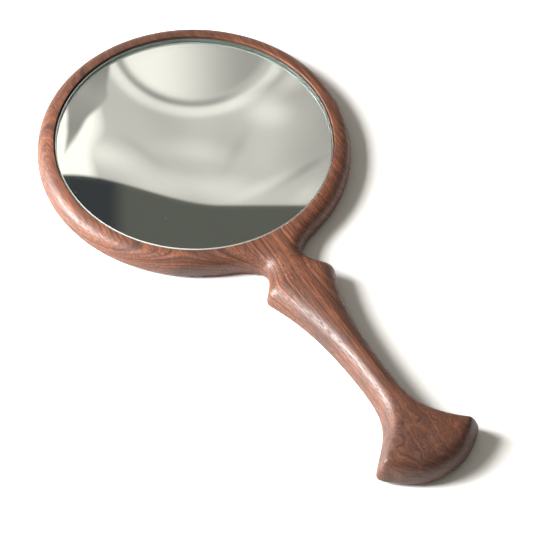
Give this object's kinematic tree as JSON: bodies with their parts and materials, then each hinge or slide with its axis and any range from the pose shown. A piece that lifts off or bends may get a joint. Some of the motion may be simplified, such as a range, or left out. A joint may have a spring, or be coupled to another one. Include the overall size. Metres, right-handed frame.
{
  "type": "hand mirror",
  "caption": "Round hand mirror with a carved wooden head, waisted neck, slim grip and fan-shaped end, lying on its flat back.",
  "frame": {"origin": "centre of the round head, on the flat back", "axes": "+Z out of the mirror, towards the person who looks into it; +Y from the handle towards the head; +X to the right"},
  "size_m": [0.1354, 0.2638, 0.0136],
  "materials": {
    "walnut": "oiled satin",
    "glass": "polished, ground edge",
    "silver": "silvered",
    "paint": "matt protective paint",
    "foam": "double-sided foam tape"
  },
  "bodies": {
    "root": {"wooden_body": "walnut", "mirror_glass": "glass", "silver_layer": "silver", "backing_paint": "paint", "adhesive_pad_centre": "foam", "adhesive_pad_1": "foam", "adhesive_pad_2": "foam", "adhesive_pad_3": "foam", "adhesive_pad_4": "foam"}
  },
  "joints": []
}
